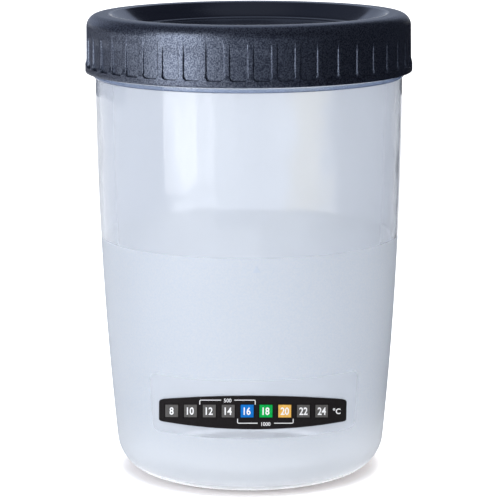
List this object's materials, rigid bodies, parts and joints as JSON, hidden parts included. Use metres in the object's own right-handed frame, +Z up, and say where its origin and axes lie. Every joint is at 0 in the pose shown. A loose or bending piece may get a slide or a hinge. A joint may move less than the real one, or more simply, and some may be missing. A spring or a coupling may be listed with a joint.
{
  "type": "yogurt maker jar",
  "caption": "Translucent tapered jar with a frosted lower wall, a dark screw lid that rises as it turns, a soft seal ring and a strip thermometer near its base.",
  "frame": {"origin": "middle of the jar's foot, on the surface that it stands on", "axes": "+Z up along the jar's and the lid's axis, -Y to the front, where the strip thermometer is, +X to the right of someone who faces it"},
  "size_m": [0.118, 0.118, 0.1671],
  "materials": {
    "jar_plastic": "translucent, polished above the frost line and finely frosted below it",
    "lid_plastic": "fine moulded grain on the side, glossy in the sunk top",
    "seal_rubber": "soft, smooth",
    "strip_black": "printed film, satin",
    "crystal_resting": "printed film, satin",
    "crystal_blue": "printed film, satin",
    "crystal_green": "printed film, satin",
    "crystal_tan": "printed film, satin"
  },
  "bodies": {
    "jar": {"jar_body": "jar_plastic", "strip_carrier": "strip_black", "crystal_window_08": "crystal_resting", "crystal_window_10": "crystal_resting", "crystal_window_12": "crystal_resting", "crystal_window_14": "crystal_resting", "crystal_window_16": "crystal_blue", "crystal_window_18": "crystal_green", "crystal_window_20": "crystal_tan", "crystal_window_22": "crystal_resting", "crystal_window_24": "crystal_resting"},
    "seal": {"lid_seal_ring": "seal_rubber"},
    "lid": {"lid": "lid_plastic"}
  },
  "joints": [
    {"name": "lid_rise", "type": "slide", "parent": "jar", "child": "seal", "axis": [0, 0, 1], "range_m": [0, 0.02]},
    {"name": "lid_turn", "type": "hinge", "parent": "seal", "child": "lid", "pos_m": [0, 0, 0.1671], "axis": [0, 0, 1], "range_deg": [0, 720]}
  ],
  "couplings": [
    {"joint": "lid_rise", "follows": "lid_turn", "m_per_rad": 0.0015915}
  ]
}
